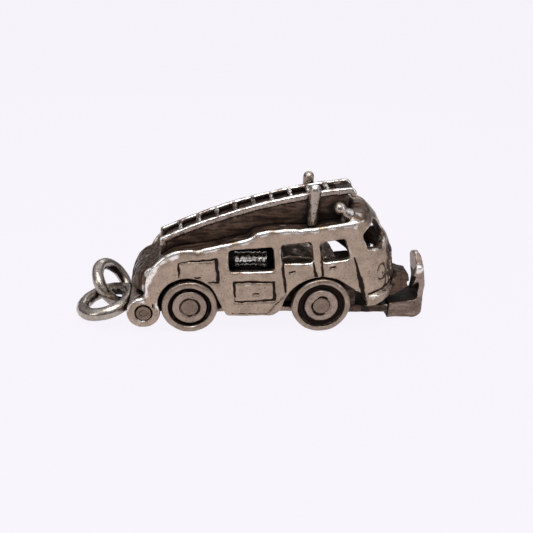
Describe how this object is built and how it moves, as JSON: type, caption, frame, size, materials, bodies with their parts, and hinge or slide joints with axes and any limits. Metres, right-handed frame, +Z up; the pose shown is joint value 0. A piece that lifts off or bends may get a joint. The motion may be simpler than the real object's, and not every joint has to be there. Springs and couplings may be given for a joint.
{
  "type": "opening charm in the shape of a fire engine",
  "caption": "Small cast silver charm shaped as a fire engine with a ladder on its roof: the body opens on a rear rivet over a base plate with turning wheels, and hangs from a ring.",
  "frame": {"origin": "on the floor below the middle of the whole length, rings included", "axes": "+X forward, to the nose; +Y to the left side; +Z up"},
  "size_m": [0.029, 0.0074, 0.0122],
  "materials": {
    "silver_shell": "worn cast silver with darkened recesses",
    "silver_dark": "deeply oxidised cast silver",
    "silver_bright": "cast silver worn bright",
    "silver_base": "dull cast silver",
    "silver_rivet": "riveted silver, faintly coppery",
    "silver_wire": "drawn silver wire, tarnished",
    "silver_wheel": "cast silver with a blackened groove"
  },
  "bodies": {
    "base": {"base_plate": "silver_base", "hinge_pin": "silver_rivet", "front_axle": "silver_rivet", "rear_axle": "silver_rivet", "catch_spring": "silver_base", "hose_coil": "silver_bright", "hose_stand": "silver_dark", "crew_seat": "silver_dark", "driver_seat": "silver_dark", "steering_post": "silver_bright", "charm_ring": "silver_wire"},
    "shell": {"body_shell": "silver_shell", "ladder_bed": "silver_dark", "ladder": "silver_bright", "gallows_left": "silver_bright", "gallows_right": "silver_bright", "siren": "silver_bright", "catch_lug": "silver_dark"},
    "jump_ring": {"jump_ring": "silver_wire"},
    "wheel_front_left": {"wheel_front_left": "silver_wheel"},
    "wheel_front_right": {"wheel_front_right": "silver_wheel"},
    "wheel_rear_left": {"wheel_rear_left": "silver_wheel"},
    "wheel_rear_right": {"wheel_rear_right": "silver_wheel"}
  },
  "joints": [
    {"name": "shell_hinge", "type": "hinge", "parent": "base", "child": "shell", "pos_m": [-0.00886, 0, 0.0018], "axis": [0, -1, 0], "range_deg": [0, 41]},
    {"name": "wheel_front_left_spin", "type": "hinge", "parent": "base", "child": "wheel_front_left", "pos_m": [0.00536, 0.0026, 0.00242], "axis": [0, 1, 0], "continuous": true},
    {"name": "wheel_front_right_spin", "type": "hinge", "parent": "base", "child": "wheel_front_right", "pos_m": [0.00536, -0.0026, 0.00242], "axis": [0, 1, 0], "continuous": true},
    {"name": "wheel_rear_left_spin", "type": "hinge", "parent": "base", "child": "wheel_rear_left", "pos_m": [-0.00524, 0.0026, 0.00227], "axis": [0, 1, 0], "continuous": true},
    {"name": "wheel_rear_right_spin", "type": "hinge", "parent": "base", "child": "wheel_rear_right", "pos_m": [-0.00524, -0.0026, 0.00227], "axis": [0, 1, 0], "continuous": true},
    {"name": "jump_ring_swing", "type": "hinge", "parent": "base", "child": "jump_ring", "pos_m": [-0.01169, 0.00176, 0.00151], "axis": [0.6728, -0.2067, 0.7104], "range_deg": [0, 96]}
  ]
}
